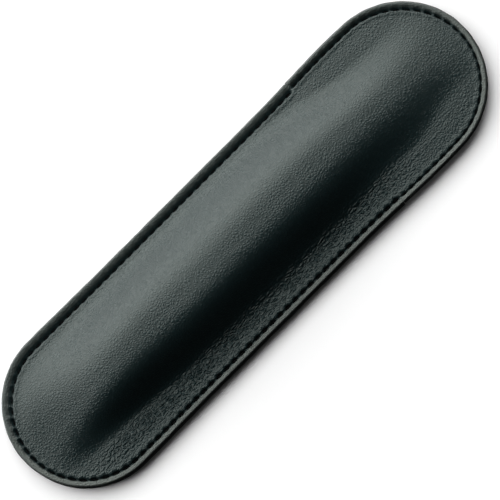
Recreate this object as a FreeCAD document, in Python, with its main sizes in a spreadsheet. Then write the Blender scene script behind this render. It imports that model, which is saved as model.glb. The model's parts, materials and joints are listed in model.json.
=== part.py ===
"""Leather sleeve for one fountain pen: a moulded front, a flat pocket back and a lined hood.

The long axis is X with the hood at +X, the moulded front faces +Z, and the origin lies under the
middle of the case on the surface it rests on.  All sizes are millimetres.
"""

import FreeCAD
import Part
import Sketcher

import math
import os

from FreeCAD import Placement, Rotation, Vector

doc = FreeCAD.newDocument("pen_sleeve")
sheet = doc.addObject("Spreadsheet::Sheet", "Sizes")

# Driving dimensions, one cell each
SIZES = {
    "case_length": 160.0,
    "case_width": 43.2,
    "leather_thickness": 1.2,
    "lining_thickness": 0.6,
    "edge_coat_thickness": 0.3,
    "edge_coat_round": 0.22,
    "bulge_height": 11.0,
    "bulge_half_width": 17.0,
    "toe_margin": 7.0,
    "toe_rise": 38.0,
    "hood_margin": 7.0,
    "hood_rise": 55.0,
    "hood_length": 43.0,
    "flex_gap": 0.2,
    "seam_margin": 2.2,
    "groove_width": 0.9,
    "groove_depth": 0.55,
    "stitch_pitch": 2.8,
    "stitch_length": 2.1,
    "thread_width": 0.6,
    "thread_height": 0.5,
    "tack_length": 2.0,
    "lip_margin": 2.4,
}
for row, (alias, value) in enumerate(SIZES.items(), start=1):
    sheet.set(f"A{row}", alias)
    sheet.set(f"B{row}", str(value))
    sheet.setAlias(f"B{row}", alias)
doc.recompute()


def size(alias):
    """The value of one driving dimension."""
    return float(sheet.get(alias))


# Expressions that several pieces share
STRAIGHT_HALF = "(Sizes.case_length - Sizes.case_width) / 2"
LEATHER_RADIUS = "(Sizes.case_width / 2 - Sizes.edge_coat_thickness)"
SEAM_RADIUS = "(Sizes.case_width / 2 - Sizes.seam_margin)"
BACK_TOP = "(Sizes.leather_thickness + Sizes.lining_thickness)"
FRONT_LINING_TOP = "(Sizes.leather_thickness + 2 * Sizes.lining_thickness)"
RIM_TOP = "(2 * Sizes.leather_thickness + 2 * Sizes.lining_thickness)"
NEEDLE_LEVEL = f"({RIM_TOP} - Sizes.groove_depth)"
MOUTH = "(Sizes.case_length / 2 - Sizes.hood_length)"

# The same places as numbers, for first positions and for the thread
straight_half = (size("case_length") - size("case_width")) / 2
back_top = size("leather_thickness") + size("lining_thickness")
front_lining_top = back_top + size("lining_thickness")
rim_top = front_lining_top + size("leather_thickness")
mouth = size("case_length") / 2 - size("hood_length")
seam_radius = size("case_width") / 2 - size("seam_margin")


def value_of(expression):
    """An expression on the sheet's cells, worked out as a number."""
    return float(sheet.evalExpression(expression))


def bind(sketch, constraint, name, expression):
    """Adds a dimension to a sketch and ties it to the sheet."""
    index = sketch.addConstraint(constraint)
    sketch.renameConstraint(index, name)
    sketch.setExpression(f"Constraints.{name}", expression)


def plane(body, role):
    """One of a body's own origin planes."""
    return next(feature for feature in body.Origin.OriginFeatures if feature.Role == role)


def new_sketch(body, name, role, offset):
    """A sketch on an origin plane of its body, moved by offset = {axis: expression}."""
    sketch = body.newObject("Sketcher::SketchObject", name)
    sketch.AttachmentSupport = [(plane(body, role), "")]
    sketch.MapMode = "FlatFace"
    for axis, expression in offset.items():
        sketch.setExpression(f"AttachmentOffset.Base.{axis}", expression)
    return sketch


def add_stadium(sketch, name, radius):
    """Draws a stadium outline: two straight sides and two half-circle ends of one radius."""
    half, r = straight_half, value_of(radius)
    first = sketch.GeometryCount
    top, right, bottom, left = range(first, first + 4)
    sketch.addGeometry(Part.LineSegment(Vector(-half, r, 0), Vector(half, r, 0)))
    right_circle = Part.Circle(Vector(half, 0, 0), Vector(0, 0, 1), r)
    sketch.addGeometry(Part.ArcOfCircle(right_circle, -math.pi / 2, math.pi / 2))
    sketch.addGeometry(Part.LineSegment(Vector(half, -r, 0), Vector(-half, -r, 0)))
    left_circle = Part.Circle(Vector(-half, 0, 0), Vector(0, 0, 1), r)
    sketch.addGeometry(Part.ArcOfCircle(left_circle, math.pi / 2, 3 * math.pi / 2))
    sketch.addConstraint(Sketcher.Constraint("Tangent", top, 2, right, 2))
    sketch.addConstraint(Sketcher.Constraint("Tangent", right, 1, bottom, 1))
    sketch.addConstraint(Sketcher.Constraint("Tangent", bottom, 2, left, 2))
    sketch.addConstraint(Sketcher.Constraint("Tangent", left, 1, top, 1))
    sketch.addConstraint(Sketcher.Constraint("PointOnObject", right, 3, -1))
    sketch.addConstraint(Sketcher.Constraint("PointOnObject", left, 3, -1))
    sketch.addConstraint(Sketcher.Constraint("Equal", right, left))
    right_place = Sketcher.Constraint("DistanceX", -1, 1, right, 3, half)
    bind(sketch, right_place, f"{name}_right", STRAIGHT_HALF)
    left_place = Sketcher.Constraint("DistanceX", left, 3, -1, 1, half)
    bind(sketch, left_place, f"{name}_left", STRAIGHT_HALF)
    bind(sketch, Sketcher.Constraint("Radius", right, r), f"{name}_radius", radius)


def add_pad(body, name, sketch, length):
    """Pads a sketch upwards."""
    pad = body.newObject("PartDesign::Pad", name)
    pad.Profile = sketch
    pad.setExpression("Length", length)
    doc.recompute()
    return pad


def cut_upwards(body, name, sketch, depth):
    """Pockets a sketch upwards into its body."""
    before = body.Shape.Volume
    pocket = body.newObject("PartDesign::Pocket", name)
    pocket.Profile = sketch
    pocket.setExpression("Length", depth)
    pocket.Reversed = True
    doc.recompute()
    if body.Shape.Volume >= before:
        raise RuntimeError(f"{name} cuts nothing")
    return pocket


def stadium_plate(body, name, bottom, thickness):
    """A flat layer with the outline of the leather."""
    outline = new_sketch(body, f"{name}_outline", "XY_Plane", {"z": bottom})
    add_stadium(outline, "outline", LEATHER_RADIUS)
    return add_pad(body, f"{name}_plate", outline, thickness)


def seam_ring(body, name, level):
    """Outline of the shallow channel that the stitches sink into, all round the case."""
    ring = new_sketch(body, f"{name}_outline", "XY_Plane", {"z": level})
    add_stadium(ring, "outer", f"{SEAM_RADIUS} + Sizes.groove_width / 2")
    add_stadium(ring, "inner", f"{SEAM_RADIUS} - Sizes.groove_width / 2")
    return ring


# Shape of the bulge as shares: (of its half width, of its height) from the crown outwards, and at
# each end (of the rise from tip to full height, of the height, of the width)
ACROSS = ((0.0, 1.016), (0.353, 0.967), (0.647, 0.677), (0.882, 0.164), (1.0, 0.0), (1.106, 0.0))
TOE_RISE = (
    (-0.2, 0.0, 0.75),
    (-0.08, 0.0, 0.75),
    (0.04, 0.0, 0.75),
    (0.22, 0.26, 0.77),
    (0.42, 0.58, 0.82),
    (0.65, 0.88, 0.88),
    (1.0, 1.0, 0.95),
)
HOOD_RISE = (
    (-0.14, 0.0, 0.75),
    (-0.05, 0.0, 0.75),
    (0.05, 0.0, 0.75),
    (0.2, 0.24, 0.77),
    (0.38, 0.41, 0.8),
    (0.56, 0.57, 0.83),
    (0.76, 0.86, 0.92),
    (1.0, 1.0, 1.0),
)
DEGREE = 3


def overhang():
    """How far the control net runs past the outline, so that the surface covers it."""
    return size("case_width") / 8


def bulge_stations():
    """Rows of the bulge's control net along X: (place, share of the height, share of the width)."""
    half = size("case_length") / 2
    toe_tip, hood_tip = size("toe_margin") - half, half - size("hood_margin")
    toe = [(toe_tip + share * size("toe_rise"), high, wide) for share, high, wide in TOE_RISE]
    hood = [(hood_tip - share * size("hood_rise"), high, wide) for share, high, wide in HOOD_RISE]
    first, last = toe[-1][0], hood[-1][0]
    middle = [(first + (last - first) * third / 3, 1.0, 1.0) for third in (1, 2)]
    ends = [(side * (half + overhang()), 0.0, 1.0) for side in (-1, 1)]
    return ends[:1] + toe + middle + hood[::-1] + ends[1:]


def bulge_columns():
    """Columns of the control net across Y, from -Y to +Y: (place, share of the height, scales)."""
    half = size("case_width") / 2
    inner = [(share * size("bulge_half_width"), high, True) for share, high in ACROSS]
    outer = [(half + overhang() / 2, 0.0, False), (half + overhang(), 0.0, False)]
    right = inner + outer
    left = [(-place, high, scales) for place, high, scales in right[:0:-1]]
    return left + right


def clamped(count):
    """Knots and multiplicities of an evenly divided spline that ends at its end poles."""
    spans = count - DEGREE
    knots = [step / spans for step in range(spans + 1)]
    return knots, [DEGREE + 1] + [1] * (spans - 1) + [DEGREE + 1]


def net_surface(poles):
    """The smooth surface that a control net pulls into shape."""
    row_knots, row_mults = clamped(len(poles))
    column_knots, column_mults = clamped(len(poles[0]))
    surface = Part.BSplineSurface()
    surface.buildFromPolesMultsKnots(
        poles, row_mults, column_mults, row_knots, column_knots, False, False, DEGREE, DEGREE
    )
    return surface


def pole_places(count):
    """The parameter at which each pole of an evenly divided spline pulls hardest."""
    knots, mults = clamped(count)
    full = [knot for knot, times in zip(knots, mults) for _ in range(times)]
    return [sum(full[pole + 1 : pole + 1 + DEGREE]) / DEGREE for pole in range(count)]


def outer_net():
    """Control net of the outer leather: flat at the rim, raised over the pen."""
    rows = []
    for x, row_share, width_share in bulge_stations():
        row = []
        for y, column_share, scales in bulge_columns():
            place = y * width_share if scales else y
            rise = size("bulge_height") * row_share * column_share
            row.append(Vector(x, place, rim_top + rise))
        rows.append(row)
    return rows


def inset_net(inset):
    """The outer net moved inwards along the surface's own normals."""
    poles = outer_net()
    surface = net_surface(poles)
    row_places, column_places = pole_places(len(poles)), pole_places(len(poles[0]))
    moved = []
    for row, u in zip(poles, row_places):
        moved.append([])
        for pole, v in zip(row, column_places):
            normal = surface.normal(u, v)
            normal = normal if normal.z > 0 else normal * -1
            moved[-1].append(pole - normal * inset)
    return moved


def room_below(name, inset):
    """Everything below the moulded surface that lies inset inside the outer leather."""
    face = doc.addObject("Part::Feature", f"{name}_face")
    face.Shape = net_surface(inset_net(inset)).toShape()
    room = doc.addObject("Part::Extrusion", name)
    room.Base = face
    room.DirMode = "Custom"
    room.Dir = Vector(0, 0, -1)
    room.setExpression("LengthFwd", "Sizes.case_width")
    room.Solid = True
    doc.recompute()
    return room


def moulded_layer(name, above, below):
    """One layer of the front: the case's outline between two moulded surfaces."""
    body = doc.addObject("PartDesign::Body", f"{name}_outline_block")
    stadium_plate(body, f"{name}_block", "Sizes.lining_thickness", "Sizes.case_width")
    filled = doc.addObject("Part::Common", f"{name}_filled")
    filled.Base, filled.Tool = body, above
    layer = doc.addObject("Part::Cut", name)
    layer.Base, layer.Tool = filled, below
    doc.recompute()
    return layer


def half_space(name, low, high):
    """A tall block between two places along X, to part a piece at the mouth."""
    block = doc.addObject("Part::Box", name)
    block.setExpression("Length", f"({high}) - ({low})")
    block.setExpression("Width", "2 * Sizes.case_width")
    block.setExpression("Height", "2 * Sizes.case_width")
    block.setExpression("Placement.Base.x", low)
    block.setExpression("Placement.Base.y", "-Sizes.case_width")
    block.setExpression("Placement.Base.z", "-Sizes.case_width / 2")
    return block


TOE_END = "-Sizes.case_length"
HOOD_END = "Sizes.case_length"
SLEEVE_EDGE = f"{MOUTH} - Sizes.flex_gap / 2"
HOOD_EDGE = f"{MOUTH} + Sizes.flex_gap / 2"
nodes = []


def keep(feature, label):
    """Marks a document object as one sub-part of the case."""
    feature.Label = label
    nodes.append(feature)
    return feature


def part_of(body, label, low, high):
    """The stretch of a body between two places along X, as a sub-part."""
    common = doc.addObject("Part::Common", label)
    common.Base = body
    common.Tool = half_space(f"{label}_side", low, high)
    return keep(common, label)


# The moulded surfaces of the front, from the outside of the leather to the inside of the lining
outside = room_below("below_leather_outside", 0.0)
between = room_below("below_leather_inside", size("leather_thickness"))
inside = room_below("below_lining_inside", back_top)

# Front leather, moulded over the pen and parted at the mouth, where it bends
front = moulded_layer("front_leather", outside, between)
channel = doc.addObject("PartDesign::Body", "seam_channel")
channel_ring = seam_ring(channel, "seam_channel", NEEDLE_LEVEL)
add_pad(channel, "seam_channel_ring", channel_ring, "2 * Sizes.groove_depth")
grooved = doc.addObject("Part::Cut", "front_leather_grooved")
grooved.Base, grooved.Tool = front, channel
part_of(grooved, "front_panel_sleeve", TOE_END, SLEEVE_EDGE)
part_of(grooved, "front_panel_hood", HOOD_EDGE, HOOD_END)

# Front lining, glued under the leather over its whole area
liner = moulded_layer("front_liner", between, inside)
part_of(liner, "front_lining_sleeve", TOE_END, SLEEVE_EDGE)
part_of(liner, "front_lining_hood", HOOD_EDGE, HOOD_END)

LIP_EDGE = f"{SLEEVE_EDGE} - Sizes.edge_coat_thickness"
LIP_SEAM = f"({MOUTH} - Sizes.lip_margin)"
LIP_RUN = f"2 * ({SEAM_RADIUS} - Sizes.seam_margin)"


def lip_channel(body):
    """Outline of the straight channel for the stitches along the mouth."""
    middle, half_run = value_of(LIP_SEAM), value_of(LIP_RUN) / 2
    low, high = middle - size("groove_width") / 2, middle + size("groove_width") / 2
    corners = [
        Vector(low, -half_run, 0),
        Vector(high, -half_run, 0),
        Vector(high, half_run, 0),
        Vector(low, half_run, 0),
    ]
    channel = new_sketch(body, "lip_channel_outline", "XY_Plane", {"z": "0"})
    for side in range(4):
        channel.addGeometry(Part.LineSegment(corners[side], corners[(side + 1) % 4]))
    for side in range(4):
        channel.addConstraint(Sketcher.Constraint("Coincident", side, 2, (side + 1) % 4, 1))
    channel.addConstraint(Sketcher.Constraint("Horizontal", 0))
    channel.addConstraint(Sketcher.Constraint("Horizontal", 2))
    channel.addConstraint(Sketcher.Constraint("Vertical", 3))
    channel.addConstraint(Sketcher.Constraint("Symmetric", 1, 1, 1, 2, -1))
    width = Sketcher.Constraint("DistanceX", 0, 1, 0, 2, high - low)
    bind(channel, width, "lip_width", "Sizes.groove_width")
    run = Sketcher.Constraint("DistanceY", 1, 1, 1, 2, 2 * half_run)
    bind(channel, run, "lip_run", LIP_RUN)
    place = Sketcher.Constraint("DistanceX", -1, 1, 0, 2, high)
    bind(channel, place, "lip_place", f"{LIP_SEAM} + Sizes.groove_width / 2")
    return channel


# Flat back of the pocket: leather outside, lining inside, both ending at the mouth
back = doc.addObject("PartDesign::Body", "back_leather")
stadium_plate(back, "back_leather", "0", "Sizes.leather_thickness")
cut_upwards(back, "back_groove", seam_ring(back, "back_groove", "0"), "Sizes.groove_depth")
cut_upwards(back, "lip_groove", lip_channel(back), "Sizes.groove_depth")
part_of(back, "back_panel", TOE_END, LIP_EDGE)

back_liner = doc.addObject("PartDesign::Body", "back_liner")
stadium_plate(back_liner, "back_liner", "Sizes.leather_thickness", "Sizes.lining_thickness")
part_of(back_liner, "back_lining", TOE_END, LIP_EDGE)


def coat_ring(name, bottom):
    """The painted edge: a thin band round the outline, rounded on its outer corners."""
    body = doc.addObject("PartDesign::Body", name)
    ring = new_sketch(body, f"{name}_outline", "XY_Plane", {"z": bottom})
    add_stadium(ring, "outer", "Sizes.case_width / 2")
    add_stadium(ring, "inner", LEATHER_RADIUS)
    pad = add_pad(body, f"{name}_band", ring, f"{RIM_TOP} - {bottom}")
    outer_reach = size("case_width") / 2 - size("edge_coat_thickness") / 2
    corners_found = []
    for number, edge in enumerate(pad.Shape.Edges, start=1):
        box = edge.BoundBox
        level = box.ZMax - box.ZMin < 1e-6
        if level and max(abs(box.YMin), abs(box.YMax)) > outer_reach:
            corners_found.append(f"Edge{number}")
    rounding = body.newObject("PartDesign::Fillet", f"{name}_round")
    rounding.Base = (pad, corners_found)
    rounding.setExpression("Radius", "Sizes.edge_coat_round")
    doc.recompute()
    return body


# Edge paint round the case, and along the mouth
part_of(coat_ring("sleeve_coat", "0"), "edge_coat_sleeve", TOE_END, SLEEVE_EDGE)
part_of(coat_ring("hood_coat", BACK_TOP), "edge_coat_hood", HOOD_EDGE, HOOD_END)
lip_coat = doc.addObject("Part::Box", "mouth_edge_coat")
lip_coat.setExpression("Length", "Sizes.edge_coat_thickness")
lip_coat.setExpression("Width", f"2 * {LEATHER_RADIUS}")
lip_coat.setExpression("Height", BACK_TOP)
lip_coat.setExpression("Placement.Base.x", LIP_EDGE)
lip_coat.setExpression("Placement.Base.y", f"-{LEATHER_RADIUS}")
keep(lip_coat, "mouth_edge_coat")


def seam_point(distance):
    """Place and heading on the sleeve's seam, from the mouth on +Y, round the toe, to -Y.

    Past the mouth on the other side the same count runs on round the hood.
    """
    side = mouth + straight_half
    bend = math.pi * seam_radius
    total = 4 * straight_half + 2 * bend
    distance = distance % total
    if distance < side:
        return Vector(mouth - distance, seam_radius, 0), math.pi
    distance -= side
    if distance < bend:
        angle = math.pi / 2 + distance / seam_radius
        toe = Vector(-straight_half, 0, 0)
        rim = Vector(math.cos(angle), math.sin(angle), 0) * seam_radius
        return toe + rim, angle + math.pi / 2
    distance -= bend
    if distance < 2 * straight_half:
        return Vector(-straight_half + distance, -seam_radius, 0), 0.0
    distance -= 2 * straight_half
    if distance < bend:
        angle = -math.pi / 2 + distance / seam_radius
        end = Vector(straight_half, 0, 0)
        rim = Vector(math.cos(angle), math.sin(angle), 0) * seam_radius
        return end + rim, angle + math.pi / 2
    distance -= bend
    return Vector(straight_half - distance, seam_radius, 0), math.pi


def stitch(length, width, height):
    """One stitch lying on its seat: a bar along X with a six-sided section, flat below."""
    half, shoulder, crest = width / 2, height / 2, width / 5
    section = [
        Vector(-length / 2, -half, 0),
        Vector(-length / 2, half, 0),
        Vector(-length / 2, half, shoulder),
        Vector(-length / 2, crest, height),
        Vector(-length / 2, -crest, height),
        Vector(-length / 2, -half, shoulder),
    ]
    face = Part.Face(Part.makePolygon(section + section[:1]))
    return face.extrude(Vector(length, 0, 0))


def laid(shape, place, heading, level, hanging):
    """A stitch put on its seat at a level, turned along the seam, upside down if it hangs."""
    turn = Rotation(Vector(0, 0, 1), math.degrees(heading))
    if hanging:
        turn = turn.multiply(Rotation(Vector(1, 0, 0), 180))
    copy = shape.copy()
    copy.Placement = Placement(Vector(place.x, place.y, level), turn)
    return copy


def stitch_run(label, start, stop, level, hanging):
    """A row of equal stitches along the seam between two distances, as one sub-part."""
    count = round((stop - start) / size("stitch_pitch"))
    step = (stop - start) / count
    one = stitch(size("stitch_length"), size("thread_width"), size("thread_height"))
    solids = []
    for number in range(count):
        place, heading = seam_point(start + (number + 0.5) * step)
        solids.append(laid(one, place, heading, level, hanging))
    row = doc.addObject("Part::Feature", label)
    row.Shape = Part.makeCompound(solids)
    return keep(row, label)


# Lockstitch round the case: needle thread above, bobbin thread below
seam_total = 4 * straight_half + 2 * math.pi * seam_radius
sleeve_run = 2 * (mouth + straight_half) + math.pi * seam_radius
tack_start = size("flex_gap") / 2 + size("edge_coat_thickness")
tack_room = tack_start + size("tack_length") + size("flex_gap") / 2
needle_level = rim_top - size("groove_depth")
bobbin_level = size("groove_depth")
sleeve_start, sleeve_stop = tack_room, sleeve_run - tack_room
hood_start, hood_stop = sleeve_run + size("flex_gap"), seam_total - size("flex_gap")
stitch_run("needle_thread_sleeve", sleeve_start, sleeve_stop, needle_level, False)
stitch_run("bobbin_thread_sleeve", sleeve_start, sleeve_stop, bobbin_level, True)
stitch_run("needle_thread_hood", hood_start, hood_stop, needle_level, False)
stitch_run("bobbin_thread_hood", hood_start, hood_stop, back_top, True)

# Back tacks that lock the seam at both corners of the mouth, above and below
tack = stitch(size("tack_length"), size("groove_width"), size("groove_depth"))
tack_solids = []
tack_middle = tack_start + size("tack_length") / 2
for distance in (tack_middle, sleeve_run - tack_middle):
    place, heading = seam_point(distance)
    tack_solids.append(laid(tack, place, heading, needle_level, False))
    tack_solids.append(laid(tack, place, heading, bobbin_level, True))
tacks = doc.addObject("Part::Feature", "mouth_tacks")
tacks.Shape = Part.makeCompound(tack_solids)
keep(tacks, "mouth_tacks")

# Row of stitches that holds the lining to the leather along the mouth
lip_run = value_of(LIP_RUN)
lip_count = int(lip_run / size("stitch_pitch"))
lip_step = lip_run / lip_count
lip_stitch = stitch(size("stitch_length"), size("thread_width"), size("thread_height"))
lip_solids = []
for number in range(lip_count):
    place = Vector(value_of(LIP_SEAM), (number + 0.5) * lip_step - lip_run / 2, 0)
    lip_solids.append(laid(lip_stitch, place, math.pi / 2, bobbin_level, True))
lip_thread = doc.addObject("Part::Feature", "mouth_thread")
lip_thread.Shape = Part.makeCompound(lip_solids)
keep(lip_thread, "mouth_thread")

doc.recompute()
for item in doc.Objects:
    if "Invalid" in item.State or "Error" in item.State:
        raise RuntimeError(f"{item.Name} failed: {item.State}")
for node in nodes:
    if node.Shape.isNull() or not node.Shape.isValid():
        raise RuntimeError(f"{node.Label} has no valid shape")

os.makedirs("parts", exist_ok=True)
for node in nodes:
    node.Shape.exportStep(f"parts/{node.Label}.step")
    print(node.Label, len(node.Shape.Solids), "solids", round(node.Shape.Volume, 2), "mm3")
print("mouth at", round(mouth, 2), "rim top", round(rim_top, 2))
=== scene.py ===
"""Looks of a leather sleeve for one pen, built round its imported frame.

Shapes are worked out in millimetres and become metres when a mesh is made.  +X runs from the toe to the
hood, +Z points out of the moulded front, and the light comes from the +Y side.
"""

import json
import math

import bmesh
import bpy
import numpy as np
from mathutils import Matrix, Vector


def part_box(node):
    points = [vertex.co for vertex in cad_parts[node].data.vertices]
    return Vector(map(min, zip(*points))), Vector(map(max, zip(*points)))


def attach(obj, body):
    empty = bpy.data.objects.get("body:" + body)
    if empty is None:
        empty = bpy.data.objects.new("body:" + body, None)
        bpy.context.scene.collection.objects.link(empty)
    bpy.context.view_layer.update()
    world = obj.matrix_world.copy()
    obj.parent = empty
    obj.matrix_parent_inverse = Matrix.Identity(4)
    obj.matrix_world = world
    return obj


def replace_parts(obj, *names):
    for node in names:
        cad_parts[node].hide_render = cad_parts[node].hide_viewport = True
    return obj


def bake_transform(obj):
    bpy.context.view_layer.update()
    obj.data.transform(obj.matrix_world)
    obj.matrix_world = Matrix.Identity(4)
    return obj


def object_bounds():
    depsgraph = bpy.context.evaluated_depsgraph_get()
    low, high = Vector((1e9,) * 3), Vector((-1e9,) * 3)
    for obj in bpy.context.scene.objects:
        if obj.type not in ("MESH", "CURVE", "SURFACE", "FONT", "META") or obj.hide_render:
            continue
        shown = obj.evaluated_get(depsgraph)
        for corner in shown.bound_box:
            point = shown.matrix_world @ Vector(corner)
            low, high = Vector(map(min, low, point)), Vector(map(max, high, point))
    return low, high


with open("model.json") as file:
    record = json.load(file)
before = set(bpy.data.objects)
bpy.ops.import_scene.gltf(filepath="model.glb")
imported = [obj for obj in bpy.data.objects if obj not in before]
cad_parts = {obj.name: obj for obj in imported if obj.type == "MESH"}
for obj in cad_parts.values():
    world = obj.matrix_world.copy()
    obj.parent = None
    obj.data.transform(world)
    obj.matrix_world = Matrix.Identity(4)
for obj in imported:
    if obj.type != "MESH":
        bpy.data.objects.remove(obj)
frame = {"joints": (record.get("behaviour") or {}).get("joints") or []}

MM = 0.001
cad_box = [list(corner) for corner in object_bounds()]
high_corner = np.array(cad_box[1]) / MM


def reach(node_name, axis):
    """The highest place of a CAD node along an axis, in millimetres."""
    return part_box(node_name)[1][axis] / MM


# Sizes of the case, from the frame
HALF_WIDTH = high_corner[1]
SPINE = high_corner[0] - HALF_WIDTH
LEATHER_EDGE = reach("front_panel_sleeve", 1)
LEATHER = reach("back_panel", 2)
BACK_TOP = reach("back_lining", 2)
RIM_TOP = reach("edge_coat_sleeve", 2)
CROWN = reach("front_panel_sleeve", 2) - RIM_TOP
LIP = reach("back_panel", 0)
MOUTH = frame["joints"][0]["pos_m"][0] / MM

# The seam
SEAM_INSET = 2.2
SEAM = HALF_WIDTH - SEAM_INSET
STITCH_PITCH = 2.8
COLUMNS_PER_STITCH = 8

# The front's rounded edge, the deepest relief of its rim, and how far inwards of the groove's lowest line
# the thread lies
EDGE_ROUND, EDGE_FALL = 0.35, 0.6
DEEPEST_RELIEF = 1.45
BED_OFFSET = 0.1

# The leather left under the groove at the points of the flesh side, the glue between front leather and
# lining and under the back lining, the slip between the two linings, and how far the front lining stops
# short of the edge
LEAST_LEATHER = 0.12
GLUE, BACK_GLUE = 0.03, 0.01
SLIP = 0.02
LINING_SHORT = 0.1

SIDE_RUN = MOUTH + SPINE
BEND_RUN = math.pi * SEAM
WALK_MARKS = np.cumsum([0.0, SIDE_RUN, BEND_RUN, 2 * SPINE, BEND_RUN, SPINE - MOUTH])
SEAM_RUN = WALK_MARKS[-1]
SLEEVE_RUN = 2 * SIDE_RUN + BEND_RUN
SLEEVE_STITCHES = round(SLEEVE_RUN / STITCH_PITCH)
HOOD_STITCHES = round((SEAM_RUN - SLEEVE_RUN) / STITCH_PITCH)
STITCHES = SLEEVE_STITCHES + HOOD_STITCHES


def seam_walk(phase):
    """Middle-line place and outward direction at a count of stitches along the seam.

    The count starts at the mouth on +Y, runs round the toe to the mouth on -Y and on round the hood.
    The middle-line place moves along the spine on the straights and stands still in the bends, where
    the direction turns through half a circle.
    """
    distance = np.interp(phase, [0, SLEEVE_STITCHES, STITCHES], [0.0, SLEEVE_RUN, SEAM_RUN])
    along = np.interp(distance, WALK_MARKS, [MOUTH, -SPINE, -SPINE, SPINE, SPINE, MOUTH])
    quarter = math.pi / 2
    angle = np.interp(distance, WALK_MARKS, np.array([1, 1, 3, 3, 5, 5]) * quarter)
    return along, np.cos(angle), np.sin(angle)


def smooth(value, start, stop):
    """Smooth step: 0 before start, 1 after stop, 3t^2 - 2t^3 between; a stop below start makes it fall."""
    share = np.clip((value - start) / (stop - start), 0.0, 1.0)
    return share * share * (3 - 2 * share)


def bell(value, middle, width):
    """Bell curve: 1 at its middle and 1/e one width to either side."""
    return np.exp(-(((value - middle) / width) ** 2))


def ripples(x, y, long_wave, cross_wave, seed, count=9):
    """Gentle unevenness: a sum of sine waves of random phase, long along X and short across it."""
    rng = np.random.default_rng(seed)
    total = np.zeros(np.broadcast(x, y).shape)
    for _ in range(count):
        kx, ky = rng.normal(0, 1 / long_wave), rng.normal(1 / cross_wave, 0.35 / cross_wave)
        total = total + np.sin(2 * math.pi * (kx * x + ky * y + rng.random()))
    return total / math.sqrt(count / 2)


# The moulding's height along the case, as (place along X, share of the crown's height)
CROWN_LINE = (
    (-77, 0.0), (-74, 0.03), (-70, 0.115), (-66, 0.25), (-62, 0.39), (-58, 0.55), (-52, 0.745),
    (-46, 0.875), (-40, 0.95), (-30, 0.99), (-20, 1.0), (8, 1.0), (20, 0.965), (28, 0.88), (32, 0.81),
    (37, 0.705), (42, 0.595), (48, 0.48), (52, 0.41), (56, 0.345), (62, 0.24), (66, 0.165), (70, 0.085),
    (74, 0.02), (77, 0.0),
)
STATION_STEP = 0.25
STATIONS = np.arange(-90.0, 90.0, STATION_STEP)
EASING = 2.5


def eased_crown():
    """The crown line on close stations, its corners eased by a running mean whose weights are a normal
    curve with the easing as its deviation, out to four times that."""
    places, shares = np.transpose(CROWN_LINE)
    reach_steps = round(4 * EASING / STATION_STEP)
    weights = np.exp(-0.5 * (np.arange(-reach_steps, reach_steps + 1) * STATION_STEP / EASING) ** 2)
    return np.convolve(np.interp(STATIONS, places, shares), weights / weights.sum(), mode="same")


CROWN_SHARES = eased_crown()


def swell(x, y):
    """Height of the moulding as a share of the crown's: the crown line along X x a rounded cosine across Y.

    Across, it is (1 + cos(pi t^p)) / 2 with t the distance from the middle as a share of the half width.
    The +Y flank is softer (smaller p, wider foot) than the -Y flank, and both feet draw in towards the
    ends.
    """
    soft = y > 0
    soft_foot = 19.6 - 0.3 * smooth(-x, 10.0, 60.0) - 6.5 * smooth(x, 16.0, 57.0)
    hood_end = 1.2 * smooth(x, 22.0, 48.0) + 3.0 * smooth(x, 50.0, 66.0)
    steep_foot = 15.9 - 4.3 * smooth(-x, 8.0, 72.0) - hood_end
    foot = np.where(soft, soft_foot, steep_foot)
    power = np.where(soft, 1.25, 1.64 - 0.26 * smooth(x, 18.0, 42.0))
    across = np.minimum(np.abs(y) / foot, 1.0) ** power
    return np.interp(x, STATIONS, CROWN_SHARES) * (1 + np.cos(math.pi * across)) / 2


def edge_reach(x, out_y):
    """How far the soft edge reaches out: a little beyond the plain outline, with a bell more at hood and
    toe and a smooth step more on the -Y side."""
    ends = 0.65 * bell(x, 50.0, 15.0) + 0.2 * bell(x, -55.0, 14.0)
    return LEATHER_EDGE + 0.38 + ends + 0.42 * smooth(-out_y, 0.0, 1.0)


def hood_share(x):
    """0 on the sleeve and 1 on the hood, with a short step at the mouth."""
    return smooth(x, MOUTH - 0.4, MOUTH + 0.4)


def seam_line(x, out_y):
    """Inset of the groove's lowest line from the leather's edge.

    The +Y side is sewn further in than the -Y side, and the hood a little nearer the edge than the sleeve.
    """
    lit = smooth(out_y, -0.7, 0.8)
    return 1.55 + 0.9 * lit - (0.25 + 0.25 * lit) * hood_share(x)


def shoulder(out_y):
    """Inset at which the flat band of the rim turns down into the groove."""
    return 1.12 - 0.37 * smooth(out_y, -0.7, 0.7)


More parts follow.
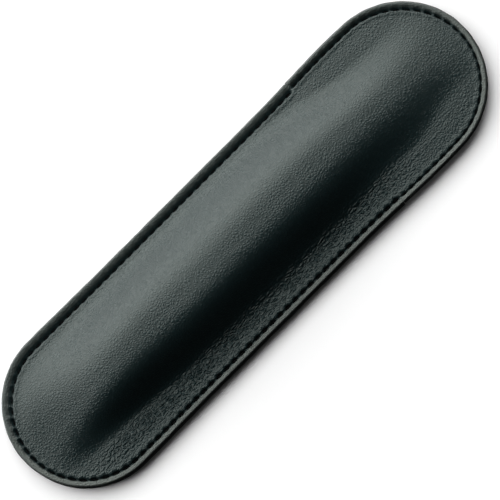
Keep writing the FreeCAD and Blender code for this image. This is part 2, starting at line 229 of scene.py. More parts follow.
def rim_relief(inset, x, phase, out_y):
    """Relief of the sewn rim by its distance from the edge.

    A quarter round rises from the edge to a nearly flat band, and an S-shaped fall leads from the band to
    the groove.  The groove closes up at the needle holes, least on the +Y side.  Its inner wall is an
    S-shaped rise that steps back in the middle of each stitch, where a narrow bell makes room for the
    thread.  At the mouth a bridge of leather fills the groove.  The border of the panel is slightly
    puffed, and on the -Y side it rolls down towards the seam as e^(-d / 2.4 mm), most and widest on the
    hood.
    """
    hood, beat, line = hood_share(x), np.cos(2 * math.pi * phase), seam_line(x, out_y)
    lit = smooth(out_y, -0.7, 0.7)
    pull = beat * (0.55 - 0.35 * lit)
    bridge = bell(x, MOUTH + 0.3, 0.55)
    closed = (0.68 - 0.33 * smooth(out_y, 0.3, 0.9)) * (0.5 + 0.5 * beat) ** 2
    depth = (1.05 + 0.5 * lit - 0.3 * hood) * (1 - 0.8 * bridge) * (1 - closed)
    to_edge = np.clip((EDGE_ROUND - inset) / EDGE_ROUND, 0, 1)
    edge_round = EDGE_FALL * (1 - np.sqrt(1 - to_edge**2))
    wall = (0.5 - 0.5 * pull) * (1 - 0.3 * hood)
    back = line + BED_OFFSET
    foot = line + 0.6 * lit * (1 - hood)
    groove = smooth(inset, shoulder(out_y) + 0.15 * pull, foot) * (1 - smooth(inset, back, back + wall))
    tilt = 0.14 * np.clip(inset - EDGE_ROUND, 0, 0.8) * (inset < line)
    bed = 0.25 * depth * bell(inset, back, 0.24)
    puff = (0.12 - 0.1 * pull) * bell(inset, back + wall + 0.4, 0.5)
    hood_part = smooth(x, 34.0, 50.0)
    roll = (0.08 + 0.3 * hood_part) * smooth(-out_y, 0.1, 0.8) * (inset > line)
    sunk = roll * np.exp(-np.maximum(inset - line, 0.0) / (2.4 + 2.6 * hood_part))
    relief = puff - edge_round - tilt - (depth - tilt) * groove - bed - sunk
    return np.maximum(relief, -DEEPEST_RELIEF)


def cushion(inset, x, y, out_y):
    """Padded look of the panel: it rises from the seam as 1 - e^(-(d / 5.5 mm)^1.3), fades towards the -Y
    side, and is flatter at both ends."""
    within = np.maximum(inset - seam_line(x, out_y) - 0.5, 0.0)
    height = 1.0 - 0.45 * smooth(-x, 4.0, 50.0) - 0.4 * smooth(x, 18.0, 50.0)
    fade = smooth(y, -15.0 - 5.0 * smooth(x, 40.0, 54.0), 8.0)
    return height * fade * (1 - np.exp(-((within / 5.5) ** 1.3)))


def front_place(inset, phase):
    """Place on the front, in plan: so far in from the soft edge towards the spine, at a count of stitches.
    Also gives the Y part of the outward direction there."""
    along, out_x, out_y = seam_walk(phase)
    depth = edge_reach(along + out_x * SEAM, out_y) * (1 - inset / LEATHER_EDGE)
    return along + out_x * depth, out_y * depth, out_y


def front_surface(inset, phase):
    """Outer face of the front leather.

    Its level is the rim's top + the moulding + the cushion where the moulding is low + the rim's relief
    + shallow creases, which are ripples under a bell along the -Y foot, + a gentle unevenness of long
    ripples that fades on the hood.
    """
    x, y, out_y = front_place(inset, phase)
    slack = bell(y, -15.7, 1.7) * smooth(np.abs(x), 66.0, 55.0)
    creases = 0.05 * slack * ripples(x, y, 60.0, 1.5, seed=4)
    loose = smooth(inset, 3.0, 8.0) * smooth(x, 52.0, 36.0)
    lie = 0.1 * loose * ripples(x, y, 30.0, 26.0, seed=7, count=6)
    moulded = swell(x, y)
    rim = rim_relief(inset, x, phase, out_y)
    z = RIM_TOP + CROWN * moulded + cushion(inset, x, y, out_y) * (1 - moulded) + rim
    return np.stack([x, y, z + creases + lie], axis=-1)


def under_surface(inset, phase, depth_below):
    """The plain moulded surface, without seam relief, moved inwards along its own normal."""
    x, y, _ = front_place(inset, phase)
    step = 0.05
    slope_x = CROWN * (swell(x + step, y) - swell(x - step, y)) / (2 * step)
    slope_y = CROWN * (swell(x, y + step) - swell(x, y - step)) / (2 * step)
    shrink = depth_below / np.sqrt(1 + slope_x**2 + slope_y**2)
    z = RIM_TOP + CROWN * swell(x, y)
    return np.stack([x + slope_x * shrink, y + slope_y * shrink, z - shrink], axis=-1)


def pressed_under(insets, phase, depth_below, least):
    """The moved-in moulded surface on a grid, its points pressed down under the seam to stay a least
    distance below the outer face.  Between the points the groove still reaches through it in places."""
    surface = under_surface(insets[:, None], phase[None, :], depth_below)
    outer = front_surface(insets[:, None], phase[None, :])
    surface[..., 2] = np.minimum(surface[..., 2], outer[..., 2] - least)
    return surface


def graded(*stretches):
    """Insets in stretches of even steps, each (start, stop, number of steps), without the last stop."""
    return np.concatenate([
        np.linspace(start, stop, steps, endpoint=False) for start, stop, steps in stretches
    ])


def grid_faces(rows, columns):
    """Quads between neighbouring rows and columns of a grid whose last column joins its first."""
    row, column = np.indices((rows - 1, columns))
    here, beside = row * columns + column, row * columns + (column + 1) % columns
    return np.stack([here, beside, beside + columns, here + columns], axis=-1).reshape(-1, 4)


def new_piece(name, points, faces, material, weld=True):
    """A smooth mesh object at the origin from points in millimetres, facing outwards; weld merges its
    doubles."""
    mesh = bpy.data.meshes.new(name)
    mesh.from_pydata((np.reshape(points, (-1, 3)) * MM).tolist(), [], faces)
    work = bmesh.new()
    work.from_mesh(mesh)
    if weld:
        bmesh.ops.remove_doubles(work, verts=work.verts, dist=1e-7)
        bmesh.ops.dissolve_degenerate(work, edges=work.edges, dist=1e-8)
    bmesh.ops.recalc_face_normals(work, faces=work.faces)
    work.to_mesh(mesh)
    work.free()
    mesh.shade_smooth()
    mesh.materials.append(material)
    piece = bpy.data.objects.new(name, mesh)
    bpy.context.scene.collection.objects.link(piece)
    return piece


def closed_skin(name, rows, material):
    """A piece from rows of points that each run once round the case."""
    faces = grid_faces(*rows.shape[:2]).tolist()
    return new_piece(name, rows, faces, material)


def flex(piece):
    """Bakes a piece's placement into its mesh."""
    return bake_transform(piece)


def linear(hex_colour):
    """sRGB hex to the linear RGBA that Blender's sockets take."""
    channels = np.array([int(hex_colour[i : i + 2], 16) for i in (1, 3, 5)]) / 255
    curve = np.where(channels <= 0.04045, channels / 12.92, ((channels + 0.055) / 1.055) ** 2.4)
    return (*curve.tolist(), 1.0)


# Sockets of a Mix node set to colour, which share their names with those for other kinds of data
COLOUR_A, COLOUR_B, COLOUR_OUT = 6, 7, 2


def node(tree, kind, inputs=None, **settings):
    """Adds a node, gives it its settings, and sets or links its inputs."""
    made = tree.nodes.new(kind)
    for name, value in settings.items():
        setattr(made, name, value)
    for name, value in (inputs or {}).items():
        if isinstance(value, bpy.types.NodeSocket):
            tree.links.new(value, made.inputs[name])
        else:
            made.inputs[name].default_value = value
    return made


def new_material(name):
    """An empty node material and its tree."""
    material = bpy.data.materials.new(name)
    material.use_nodes = True
    material.node_tree.nodes.clear()
    return material, material.node_tree


def per_mm(size):
    """Texture scale for a pattern that repeats every so many millimetres, on coordinates in metres."""
    return 1 / (size * MM)


def rounded_cells(tree, place, size, stretch, turn):
    """Cells of a size in millimetres, drawn out along the case and turned, each rounded into a low dome by
    a smooth step of the distance from its border."""
    drawn = node(
        tree, "ShaderNodeMapping",
        {"Vector": place, "Rotation": (0, 0, turn), "Scale": (1 / stretch, 1.0, 1.0)},
    )
    cells = node(
        tree, "ShaderNodeTexVoronoi", {"Vector": drawn.outputs["Vector"], "Scale": per_mm(size)},
        feature="DISTANCE_TO_EDGE",
    )
    return node(
        tree, "ShaderNodeMapRange", {"Value": cells.outputs["Distance"], "From Max": 0.34},
        interpolation_type="SMOOTHSTEP",
    ).outputs["Result"]


def black_nappa():
    """Drum-dyed black nappa with a thin resin finish.

    Fine pebbles of about 0.7 mm with soft creases between them that are painted darker as shade, slightly
    drawn out along the case, short pulled folds where the leather is slack, pores, a satin sheen that is a
    touch smoother on the pebbles, faint cloudy tone, and a greyer rim outside the seam, partly its own
    tone and partly a painted highlight that makes it palest on the -Y side.
    """
    material, tree = new_material("black_nappa_leather")
    place = node(tree, "ShaderNodeTexCoord").outputs["Object"]
    drift = node(tree, "ShaderNodeTexNoise", {"Vector": place, "Scale": per_mm(2.2), "Detail": 2.0})
    bent = node(
        tree, "ShaderNodeMix", {"Factor": 0.0006, COLOUR_A: place, COLOUR_B: drift.outputs["Color"]},
        data_type="RGBA", blend_type="ADD",
    ).outputs[COLOUR_OUT]
    pebbles = rounded_cells(tree, bent, size=0.68, stretch=1 / 0.85, turn=0.0)
    folds = rounded_cells(tree, bent, size=0.84, stretch=1 / 0.45, turn=0.3)
    pores = node(
        tree, "ShaderNodeTexNoise",
        {"Vector": place, "Scale": per_mm(0.3), "Detail": 3.0, "Roughness": 0.6},
    ).outputs["Fac"]
    clouds = node(
        tree, "ShaderNodeTexNoise", {"Vector": place, "Scale": per_mm(9.0), "Detail": 3.0}
    ).outputs["Fac"]
    slack = node(tree, "ShaderNodeAttribute", attribute_name="slack").outputs["Fac"]
    wrinkle = node(tree, "ShaderNodeMath", {0: folds, 1: slack}, operation="MULTIPLY").outputs["Value"]
    skin = node(tree, "ShaderNodeMath", {0: pores, 1: pebbles}, operation="ADD").outputs["Value"]
    height = node(
        tree, "ShaderNodeMath", {0: wrinkle, 1: 3.8, 2: skin}, operation="MULTIPLY_ADD"
    ).outputs["Value"]
    grain = node(tree, "ShaderNodeBump", {"Height": height, "Strength": 1.0, "Distance": 0.000076})
    # Painted shade: the creases between the pebbles get a darker colour than the pebbles' tops.
    crease_shaded_tone = node(
        tree, "ShaderNodeMix",
        {"Factor": pebbles, COLOUR_A: linear("#0c191b"), COLOUR_B: linear("#142729")}, data_type="RGBA",
    ).outputs[COLOUR_OUT]
    cloudy = node(
        tree, "ShaderNodeMix", {"Factor": clouds, COLOUR_A: crease_shaded_tone, COLOUR_B: linear("#0f2022")},
        data_type="RGBA",
    ).outputs[COLOUR_OUT]
    # The rim mark mixes in a grey that is partly the rim's own tone and, on the -Y side, a painted
    # highlight.
    rim = node(tree, "ShaderNodeAttribute", attribute_name="rim").outputs["Fac"]
    rim_tone_and_painted_highlight = node(
        tree, "ShaderNodeMix", {"Factor": rim, COLOUR_A: cloudy, COLOUR_B: linear("#4b504d")},
        data_type="RGBA",
    ).outputs[COLOUR_OUT]
    gloss = node(
        tree, "ShaderNodeMapRange",
        {"Value": skin, "From Min": 0.2, "From Max": 1.6, "To Min": 0.46, "To Max": 0.36},
    )
    surface = node(
        tree, "ShaderNodeBsdfPrincipled",
        {
            "Base Color": rim_tone_and_painted_highlight,
            "Roughness": gloss.outputs["Result"],
            "IOR": 1.475,
            "Specular Tint": (0.92, 1.0, 0.93, 1.0),
            "Normal": grain.outputs["Normal"],
        },
    )
    node(tree, "ShaderNodeOutputMaterial", {"Surface": surface.outputs["BSDF"]})
    return material


def edge_paint():
    """Acrylic edge paint, brushed on in coats and rubbed smooth: satin black with faint waves along the
    edge."""
    material, tree = new_material("black_edge_paint")
    place = node(tree, "ShaderNodeTexCoord").outputs["Object"]
    waves = node(
        tree, "ShaderNodeTexNoise", {"Vector": place, "Scale": per_mm(1.6), "Detail": 3.0}
    ).outputs["Fac"]
    coat = node(tree, "ShaderNodeBump", {"Height": waves, "Strength": 0.35, "Distance": 0.00012})
    tone = node(
        tree, "ShaderNodeMix",
        {"Factor": waves, COLOUR_A: linear("#1b1f1f"), COLOUR_B: linear("#262b2a")}, data_type="RGBA",
    ).outputs[COLOUR_OUT]
    gloss = node(tree, "ShaderNodeMapRange", {"Value": waves, "To Min": 0.34, "To Max": 0.5})
    surface = node(
        tree, "ShaderNodeBsdfPrincipled",
        {
            "Base Color": tone,
            "Roughness": gloss.outputs["Result"],
            "IOR": 1.49,
            "Normal": coat.outputs["Normal"],
        },
    )
    node(tree, "ShaderNodeOutputMaterial", {"Surface": surface.outputs["BSDF"]})
    return material


def bonded_thread():
    """Bonded black polyester thread: twisted plies, dull, with a fibre grain that is drawn coarser than
    the real one so that it shows."""
    material, tree = new_material("black_bonded_thread")
    place = node(tree, "ShaderNodeTexCoord").outputs["Object"]
    fibre = node(
        tree, "ShaderNodeTexNoise", {"Vector": place, "Scale": per_mm(0.16), "Detail": 2.0}
    ).outputs["Fac"]
    fuzz = node(tree, "ShaderNodeBump", {"Height": fibre, "Strength": 0.4, "Distance": 0.00004})
    tone = node(
        tree, "ShaderNodeMix",
        {"Factor": fibre, COLOUR_A: linear("#040505"), COLOUR_B: linear("#0a0c0c")}, data_type="RGBA",
    ).outputs[COLOUR_OUT]
    gloss = node(tree, "ShaderNodeMapRange", {"Value": fibre, "To Min": 0.6, "To Max": 0.75})
    surface = node(
        tree, "ShaderNodeBsdfPrincipled",
        {
            "Base Color": tone,
            "Roughness": gloss.outputs["Result"],
            "IOR": 1.4,
            "Specular IOR Level": 0.08,
            "Normal": fuzz.outputs["Normal"],
        },
    )
    node(tree, "ShaderNodeOutputMaterial", {"Surface": surface.outputs["BSDF"]})
    return material


def napped_lining():
    """Napped black lining cloth: short brushed fibres in soft tufts, drawn coarse enough to show, matt
    with a velvet sheen."""
    material, tree = new_material("black_napped_lining")
    place = node(tree, "ShaderNodeTexCoord").outputs["Object"]
    nap = node(
        tree, "ShaderNodeTexNoise",
        {"Vector": place, "Scale": per_mm(0.35), "Detail": 4.0, "Roughness": 0.7},
    ).outputs["Fac"]
    brushed = node(
        tree, "ShaderNodeTexNoise", {"Vector": place, "Scale": per_mm(6.0), "Detail": 2.0}
    ).outputs["Fac"]
    tuft = node(tree, "ShaderNodeBump", {"Height": nap, "Strength": 0.6, "Distance": 0.00015})
    pile = node(
        tree, "ShaderNodeMix",
        {"Factor": nap, COLOUR_A: linear("#101112"), COLOUR_B: linear("#2b2d2f")}, data_type="RGBA",
    ).outputs[COLOUR_OUT]
    shade = node(
        tree, "ShaderNodeMix", {"Factor": brushed, COLOUR_A: pile, COLOUR_B: linear("#1b1c1e")},
        data_type="RGBA",
    ).outputs[COLOUR_OUT]
    surface = node(
        tree, "ShaderNodeBsdfPrincipled",
        {"Base Color": shade, "Roughness": 0.9, "Sheen Weight": 0.4, "Normal": tuft.outputs["Normal"]},
    )
    node(tree, "ShaderNodeOutputMaterial", {"Surface": surface.outputs["BSDF"]})
    return material


leather, paint, thread, lining = black_nappa(), edge_paint(), bonded_thread(), napped_lining()


def mark_leather(mesh):
    """Marks for the material: the greyer rim outside the seam, partly its own tone and partly a painted
    highlight that makes it palest on the -Y side, and where the leather is slack along the -Y foot, least
    on the hood."""
    places = np.empty(len(mesh.vertices) * 3)
    mesh.vertices.foreach_get("co", places)
    x, y, _ = places.reshape(-1, 3).T / MM
    out_x = x - np.clip(x, -SPINE, SPINE)
    radius = np.hypot(out_x, y)
    out_y = y / np.maximum(radius, 1.0)
    inset = LEATHER_EDGE * (1 - radius / edge_reach(x, out_y))
    band = 0.5 * (shoulder(out_y) + seam_line(x, out_y))
    along_foot = smooth(-x, 74.0, 60.0) * (0.15 + 0.85 * smooth(x, 52.0, 34.0))
    marks = {
        # Half of the rim mark lies all round as the rim's own grey. The other half, towards -Y only, is
        # painted highlight.
        "rim": smooth(inset, band + 0.15, band - 0.15) * (0.5 + 0.5 * smooth(-out_y, -0.6, 0.3)),
        "slack": bell(y, -15.6, 2.6) * along_foot,
    }
    for name, value in marks.items():
        mesh.attributes.new(name, "FLOAT", "POINT").data.foreach_set("value", value)


# Insets of the rows on the front's hidden sides, close under the seam and wide under the moulding
HIDDEN_ROWS = np.concatenate([
    [0.8], np.arange(1.0, 3.6, 0.25), [4.2, 6.0, 7.8, 9.6, 11.6, 14.0, 17.0, LEATHER_EDGE],
])


def front_leather():
    """The front as one skin: outer face from the spine out to the edge, the cut edge, and the flesh side
    back to the spine, on columns that run eight to a stitch.

    Towards both ends of the spine the +Y and -Y points of the outer face differ slightly in level, so
    they aren't merged there and leave a hairline slit.
    """
    phase = np.arange(STITCHES * COLUMNS_PER_STITCH) / COLUMNS_PER_STITCH
    seen_rows = graded((LEATHER_EDGE, 9.0, 16), (9.0, 4.2, 13), (4.2, 0.9, 28), (0.9, EDGE_ROUND, 4))
    insets = np.concatenate([seen_rows, EDGE_ROUND * np.linspace(1, 0, 6) ** 1.6])
    outer = front_surface(insets[:, None], phase[None, :])
    flesh = pressed_under(np.concatenate([[0.0], HIDDEN_ROWS]), phase, LEATHER, LEAST_LEATHER)
    skin = closed_skin("front_leather", np.concatenate([outer, flesh]), leather)
    mark_leather(skin.data)
    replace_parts(skin, "front_panel_sleeve", "front_panel_hood")
    return flex(skin)


def front_lining():
    """The cloth glued under the front leather: a thin closed skin between two inward offsets of the
    moulding, a little short of the edge."""
    phase = np.arange(STITCHES * 4) / 4
    insets = np.concatenate([[LINING_SHORT], HIDDEN_ROWS])
    upper = pressed_under(insets[::-1], phase, LEATHER + GLUE, LEAST_LEATHER + GLUE)
    lower = under_surface(insets[:, None], phase[None, :], BACK_TOP - SLIP)
    cloth = closed_skin("front_lining", np.concatenate([upper, lower]), lining)
    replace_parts(cloth, "front_lining_sleeve", "front_lining_hood")
    return flex(cloth)


POCKET_SIDE = LIP - SEAM_INSET + SPINE
POCKET_MARKS = np.cumsum([0.0, POCKET_SIDE, BEND_RUN, POCKET_SIDE, 2 * SEAM])


def pocket_outline(distance, inset):
    """Place on the pocket back: a stadium cut straight at the lip, each line an even inset from the edge.

    Along the sides the place slides between lip and toe, round the toe it turns through half a circle,
    and along the lip it slides from -Y to +Y.  Corners are mitred.
    """
    half = LEATHER_EDGE - inset
    to_toe = np.interp(distance, POCKET_MARKS, [0, 1, 1, 0, 0])
    angle = np.interp(distance, POCKET_MARKS[:4], np.array([1, 1, 3, 3]) * math.pi / 2)
    on_lip = np.interp(distance, POCKET_MARKS[3:], [-1, 1])
    across = np.where(distance < POCKET_MARKS[3], np.sin(angle), on_lip)
    along = (1 - to_toe) * (LIP - inset) - to_toe * SPINE
    half = half * edge_reach(along + half * np.cos(angle), across) / LEATHER_EDGE
    return along + half * np.cos(angle), half * across


def pocket_walk(per_stitch):
    """Distances along the pocket's outline, so many to a stitch and the same on both sides, and the count
    of stitches at each."""
    runs = ((0.0, POCKET_MARKS[3]), POCKET_MARKS[3:])
    distance = graded(*(
        (start, stop, round((stop - start) / STITCH_PITCH) * per_stitch) for start, stop in runs
    ))
    return distance, np.arange(distance.size) / per_stitch


# The back leather's rounded edge and the groove of its seam
BACK_ROUND, BACK_RISE = 0.6, 0.4
BACK_GROOVE, BACK_GROOVE_WIDTH = 0.5, 0.45


def back_leather():
    """The flat pocket back: a closed skin with a quarter round at its edge and a groove for the seam all
    round and along the lip, a bell that is a little deeper at each needle hole."""
    distance, phase = pocket_walk(COLUMNS_PER_STITCH)
    inset = np.concatenate([
        BACK_ROUND * np.linspace(0, 1, 6)[:-1] ** 1.5,
        graded((BACK_ROUND, 3.6, 15)),
        np.linspace(3.6, LEATHER_EDGE, 12),
    ])[:, None]
    x, y = pocket_outline(distance[None, :], inset)
    fall = np.clip((BACK_ROUND - inset) / BACK_ROUND, 0.0, 1.0)
    beat = 1 + 0.15 * np.cos(2 * math.pi * phase[None, :])
    groove = BACK_GROOVE * beat * bell(inset, LEATHER_EDGE - SEAM, BACK_GROOVE_WIDTH)
    outer = np.stack([x, y, BACK_RISE * (1 - np.sqrt(1 - fall**2)) + groove], axis=-1)
    inner_insets = np.array([LEATHER_EDGE, 12.0, 6.0, 2.0, 0.0])
    inner_x, inner_y = pocket_outline(distance[None, :], inner_insets[:, None])
    inner = np.stack([inner_x, inner_y, np.full(inner_x.shape, LEATHER - BACK_GLUE)], axis=-1)
    skin = closed_skin("back_leather", np.concatenate([inner, outer]), leather)
    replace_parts(skin, "back_panel")
    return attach(skin, "sleeve")


def back_lining():
    """The cloth on the inside of the pocket back: a thin closed skin, a little short of the edge."""
    distance, _ = pocket_walk(3)
    inward = [0.3, 1.5, 4.0, 8.0, 14.0, LEATHER_EDGE]
    insets = np.array(inward[::-1] + [0.15] + inward)
    level = np.array([BACK_TOP] * 5 + [BACK_TOP - 0.05, 1.5, LEATHER + 0.05] + [LEATHER] * 5)
    x, y = pocket_outline(distance[None, :], insets[:, None])
    rows = np.stack([x, y, np.broadcast_to(level[:, None], x.shape)], axis=-1)
    cloth = closed_skin("back_lining_cloth", rows, lining)
    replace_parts(cloth, "back_lining")
    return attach(cloth, "sleeve")


def capped_sweep(rings):
    """Faces of a row of closed rings: quads between neighbours and a lid at each end."""
    count, around = rings.shape[:2]
    quads = grid_faces(count, around).tolist()
    last = (count - 1) * around
    return quads + [list(range(around)), list(range(last, last + around))]


# How far edge paint reaches under the cut edge, its levels round the case and along the lip, its thickness
# on the lip, and how far it stops short of the mouth's corners, in stitches
PAINT_TUCK = 0.06
PAINT_LOW, PAINT_HIGH = 0.12, 2.95
LIP_PAINT_LOW, LIP_PAINT_HIGH = 0.08, BACK_TOP - 0.05
LIP_PAINT = 0.28
PAINT_STOP = 0.05


def bead_profile(low, high, thickness):
    """Section of a painted edge: half an ellipse standing out from a flat face, as (outwards, level)."""
    turn = np.linspace(-math.pi / 2, math.pi / 2, 13)
    out = np.concatenate([[-PAINT_TUCK], thickness * np.cos(turn) ** 0.7, [-PAINT_TUCK]])
    level = np.concatenate([[-1.0], np.sin(turn), [1.0]])
    return out, (low + high) / 2 + level * (high - low) / 2


def painted_edge(name, first, last, low, node_name):
    """Edge paint along a stretch of the rim: the bead profile carried along the outline, a bit uneven."""
    first, last = first + PAINT_STOP, last - PAINT_STOP
    phase = np.linspace(first, last, round((last - first) * 4))
    along, out_x, out_y = seam_walk(phase)
    out, level = bead_profile(low, PAINT_HIGH, HALF_WIDTH - LEATHER_EDGE)
    uneven = 1 + 0.1 * ripples(phase, 0.0, 3.0, 3.0, seed=11)
    depth = edge_reach(along + out_x * SEAM, out_y)[:, None] + uneven[:, None] * out[None, :]
    x, y = along[:, None] + out_x[:, None] * depth, out_y[:, None] * depth
    rings = np.stack([x, y, np.broadcast_to(level, x.shape)], axis=-1)
    coat = new_piece(name, rings, capped_sweep(rings), paint)
    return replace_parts(coat, node_name)


def mouth_paint():
    """Edge paint along the lip of the pocket: the bead profile carried across it."""
    y = np.linspace(-LEATHER_EDGE + 0.1, LEATHER_EDGE - 0.1, 80)
    out, level = bead_profile(LIP_PAINT_LOW, LIP_PAINT_HIGH, LIP_PAINT)
    uneven = 1 + 0.1 * ripples(y, 0.0, 8.0, 8.0, seed=12)
    x = LIP + uneven[:, None] * out[None, :]
    rings = np.stack(np.broadcast_arrays(x, y[:, None], level), axis=-1)
    coat = new_piece("mouth_paint", rings, capped_sweep(rings), paint)
    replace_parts(coat, "mouth_edge_coat")
    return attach(coat, "sleeve")


# Stitches: steps along one, sides of its tube, its ends' distance from the needle holes as a share of the
# pitch, its slant across the seam, its rise over the bed and dive at the ends, and the thread's radius
# round the case and along the lip, with the relief of its plies and their turns in one stitch
THREAD_STEPS, THREAD_AROUND = 9, 8
ALONG_STITCH = np.linspace(0, 1, THREAD_STEPS)[None, :]
HOLE_GAP = 0.07
WITHIN_PITCH = HOLE_GAP + (1 - 2 * HOLE_GAP) * ALONG_STITCH
SEAM_SLANT, LIP_SLANT = 0.08, 0.1
STITCH_RISE, STITCH_DIVE = 0.3, 0.45
THREAD_RADIUS, LIP_THREAD_RADIUS = 0.29, 0.27
PLY_RELIEF, PLY_TURNS = 0.16, 1.2

# The lip row's distance from the lip, and how far the tacks lie to either side of the seam
LIP_SEAM = 2.0
TACK_SPREAD = 0.22

# Levels that the thread lies on, and the sides of the work
NEEDLE_BED, BOBBIN_BED, HOOD_BOBBIN_BED = RIM_TOP - 1.2, 0.68, BACK_TOP
FRONT_SIDE, BACK_SIDE = 1, -1


def stitch_lift():
    """Height of a stitch over its bed: the root of a sine arch, less a steep dive at both ends."""
    arch = np.sqrt(np.sin(math.pi * np.clip(ALONG_STITCH, 0.001, 0.999)))
    return STITCH_RISE * arch - STITCH_DIVE * np.abs(2 * ALONG_STITCH - 1) ** 5


def seam_stitches(first, last, bed, side, spread=0.0):
    """Middle lines and directions across of a row of stitches along the seam, moved outwards by spread.

    Each stitch rises out of one hole, lies a little aslant and dives into the next.  On the front the bed
    sinks with the groove towards +Y.
    """
    along, out_x, out_y = seam_walk(np.arange(first, last)[:, None] + WITHIN_PITCH)
    place = along + out_x * SEAM
    if side == FRONT_SIDE:
        line, sunk = seam_line(place, out_y) + BED_OFFSET, 0.45 * smooth(out_y, -0.5, 0.8)
    else:
        line, sunk = LEATHER_EDGE - SEAM, 0.0
    depth = edge_reach(place, out_y) - line + SEAM_SLANT * (2 * ALONG_STITCH - 1) + spread
    z = np.broadcast_to(bed - sunk + side * stitch_lift(), depth.shape)
    middle = np.stack([along + out_x * depth, out_y * depth, z], axis=-1)
    return middle, np.stack([out_x, out_y, np.zeros_like(out_x)], axis=-1)


def lip_stitches():
    """Middle lines and directions across of the straight row of stitches along the lip, on the outside of
    the pocket back."""
    half = SEAM - SEAM_INSET
    count = int(2 * half / STITCH_PITCH)
    y = -half + (np.arange(count)[:, None] + WITHIN_PITCH) * 2 * half / count
    x = LIP - LIP_SEAM + LIP_SLANT * (2 * ALONG_STITCH - 1)
    middle = np.stack(np.broadcast_arrays(x, y, BOBBIN_BED - stitch_lift()), axis=-1)
    return middle, np.broadcast_to(np.array([1.0, 0.0, 0.0]), middle.shape)


def twisted_stitches(middle, sideways, radius):
    """Stitches as short two-ply tubes: an eight-sided ring with two lobes that turn as it goes along.

    middle and sideways hold, for each stitch and step, the tube's centre and its direction across.
    """
    step = ALONG_STITCH[..., None]
    turn = (np.arange(THREAD_AROUND) * 2 * math.pi / THREAD_AROUND)[None, None, :]
    lobe = radius * (1 + PLY_RELIEF * np.cos(2 * (turn - 2 * PLY_TURNS * math.pi * step)))
    up = np.array([0.0, 0.0, 1.0])
    rings = (
        middle[:, :, None, :]
        + (lobe * np.cos(turn))[..., None] * sideways[:, :, None, :]
        + (lobe * np.sin(turn))[..., None] * up
    )
    per_stitch = THREAD_STEPS * THREAD_AROUND
    quads = grid_faces(THREAD_STEPS, THREAD_AROUND)
    lids = np.stack([np.arange(THREAD_AROUND), per_stitch - 1 - np.arange(THREAD_AROUND)])
    offsets = (np.arange(len(middle)) * per_stitch)[:, None, None]
    sides = (quads[None] + offsets).reshape(-1, 4).tolist()
    return rings, sides + (lids[None] + offsets).reshape(-1, THREAD_AROUND).tolist()


def thread_piece(name, rows, radius, *nodes):
    """One thread object from rows of stitches, standing for its CAD nodes."""
    middle, sideways = (np.concatenate(parts) for parts in zip(*rows))
    rings, faces = twisted_stitches(middle, sideways, radius)
    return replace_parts(new_piece(name, rings, faces, thread, weld=False), *nodes)


def sew():
    """All the thread: needle and bobbin side of the seam, doubled tacks at the mouth's corners, and the
    lip's own row."""
    sleeve_run, hood_run = (1, SLEEVE_STITCHES - 1), (SLEEVE_STITCHES, STITCHES)
    needle = [seam_stitches(*run, NEEDLE_BED, FRONT_SIDE) for run in (sleeve_run, hood_run)]
    needle_nodes = ("needle_thread_sleeve", "needle_thread_hood")
    flex(thread_piece("needle_thread", needle, THREAD_RADIUS, *needle_nodes))
    bobbin = [seam_stitches(*sleeve_run, BOBBIN_BED, BACK_SIDE)]
    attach(thread_piece("bobbin_thread", bobbin, THREAD_RADIUS, "bobbin_thread_sleeve"), "sleeve")
    hood_bobbin = [seam_stitches(*hood_run, HOOD_BOBBIN_BED, BACK_SIDE)]
    flex(thread_piece("hood_bobbin_thread", hood_bobbin, THREAD_RADIUS, "bobbin_thread_hood"))
    tacks = [
        seam_stitches(first, first + 1, bed, side, spread)
        for first in (0, SLEEVE_STITCHES - 1)
        for bed, side in ((NEEDLE_BED, FRONT_SIDE), (BOBBIN_BED, BACK_SIDE))
        for spread in (-TACK_SPREAD, TACK_SPREAD)
    ]
    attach(thread_piece("mouth_tack_thread", tacks, THREAD_RADIUS, "mouth_tacks"), "sleeve")
    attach(thread_piece("lip_thread", [lip_stitches()], LIP_THREAD_RADIUS, "mouth_thread"), "sleeve")


def white_floor():
    """A plain white studio floor with the case's soft shadow on it; it throws no light back at the case,
    and from below it is clear, so that the back of the case can be looked at."""
    material, tree = new_material("white_floor")
    white = node(tree, "ShaderNodeBsdfDiffuse", {"Color": (1.0, 1.0, 1.0, 1)})
    clear = node(tree, "ShaderNodeBsdfTransparent")
    below = node(tree, "ShaderNodeNewGeometry").outputs["Backfacing"]
    seen = node(tree, "ShaderNodeMixShader", {"Fac": below, 1: white.outputs[0], 2: clear.outputs[0]})
    node(tree, "ShaderNodeOutputMaterial", {"Surface": seen.outputs[0]})
    half = 4.0
    corners = [(-half, -half, 0), (half, -half, 0), (half, half, 0), (-half, half, 0)]
    mesh = bpy.data.meshes.new("floor")
    mesh.from_pydata(corners, [], [(0, 1, 2, 3)])
    mesh.materials.append(material)
    floor = bpy.data.objects.new("floor", mesh)
    floor.visible_diffuse = floor.visible_glossy = floor.visible_shadow = False
    bpy.context.scene.collection.objects.link(floor)


def softbox(name, place, width, height, radiance):
    """A soft panel that faces the case; its power is pi x area x radiance."""
    panel = bpy.data.lights.new(name, "AREA")
    panel.shape, panel.size, panel.size_y = "RECTANGLE", width, height
    panel.energy = math.pi * width * height * radiance
    lamp = bpy.data.objects.new(name, panel)
    lamp.location = place
    lamp.rotation_euler = Vector(place).to_track_quat("Z", "Y").to_euler()
    bpy.context.scene.collection.objects.link(lamp)
    return lamp


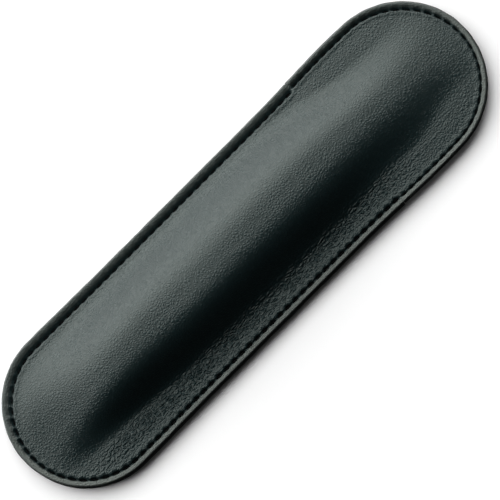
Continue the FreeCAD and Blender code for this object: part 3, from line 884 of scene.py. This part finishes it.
def studio_light():
    """A light tent that is bright on the +Y side and nearly dark on the other, and a low soft panel beside
    the case that shows only as sheen.

    The tent's radiance is a smooth step of how far a direction points towards +Y x a smooth step of how
    far it points up, which dims the tent near the floor.  The camera itself sees plain white.
    """
    panel = softbox("side_panel", place=(0.0, 0.9, 0.09), width=3.0, height=0.6, radiance=3.0)
    panel.visible_diffuse = False
    world = bpy.data.worlds.new("light_tent")
    bpy.context.scene.world = world
    world.use_nodes = True
    tree = world.node_tree
    tree.nodes.clear()
    direction = node(tree, "ShaderNodeTexCoord").outputs["Generated"]
    turned = node(tree, "ShaderNodeSeparateXYZ", {"Vector": direction})
    flow = node(
        tree, "ShaderNodeMapRange",
        {"Value": turned.outputs["Y"], "From Min": 0.05, "From Max": 0.52, "To Min": 0.035, "To Max": 3.6},
        interpolation_type="SMOOTHSTEP",
    ).outputs["Result"]
    low = node(
        tree, "ShaderNodeMapRange",
        {"Value": turned.outputs["Z"], "From Min": 0.0, "From Max": 0.5, "To Min": 0.3, "To Max": 1.0},
        interpolation_type="SMOOTHSTEP",
    ).outputs["Result"]
    glow = node(tree, "ShaderNodeMath", {0: flow, 1: low}, operation="MULTIPLY").outputs["Value"]
    seen = node(tree, "ShaderNodeLightPath").outputs["Is Camera Ray"]
    strength = node(tree, "ShaderNodeMix", {"Factor": seen, "A": glow, "B": 1.0}).outputs["Result"]
    tent = node(tree, "ShaderNodeBackground", {"Color": (1, 1, 1, 1), "Strength": strength})
    node(tree, "ShaderNodeOutputWorld", {"Surface": tent.outputs[0]})


# The camera's sensor, its distance, and the width that fills the picture at that distance
SENSOR_WIDTH, CAMERA_DISTANCE, PICTURE_WIDTH = 36.0, 1000.0, 130.0


def photo_camera():
    """A long lens almost straight above, leaning a few degrees towards -Y, with the case on the picture's
    diagonal."""
    lens = bpy.data.cameras.new("camera")
    lens.sensor_width = SENSOR_WIDTH
    lens.lens = SENSOR_WIDTH * CAMERA_DISTANCE / PICTURE_WIDTH
    lean, heading = math.radians(11), math.radians(45.5)
    back = Vector((0, -math.sin(lean), math.cos(lean)))
    right = Vector((math.cos(heading), math.sin(heading), 0)).cross(back).normalized()
    up = back.cross(right)
    aim = Vector((0.0, -2.4 * MM, 2.0 * MM))
    turn = Matrix((right, up, back)).transposed().to_4x4()
    camera = bpy.data.objects.new("camera", lens)
    camera.matrix_world = Matrix.Translation(aim + back * (CAMERA_DISTANCE * MM)) @ turn
    bpy.context.scene.collection.objects.link(camera)
    bpy.context.scene.camera = camera


front_leather()
front_lining()
back_leather()
back_lining()
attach(painted_edge("sleeve_paint", 0, SLEEVE_STITCHES, PAINT_LOW, "edge_coat_sleeve"), "sleeve")
flex(painted_edge("hood_paint", SLEEVE_STITCHES, STITCHES, BACK_TOP, "edge_coat_hood"))
mouth_paint()
sew()

white_floor()
studio_light()
photo_camera()
bpy.context.scene.view_settings.view_transform = "Standard"
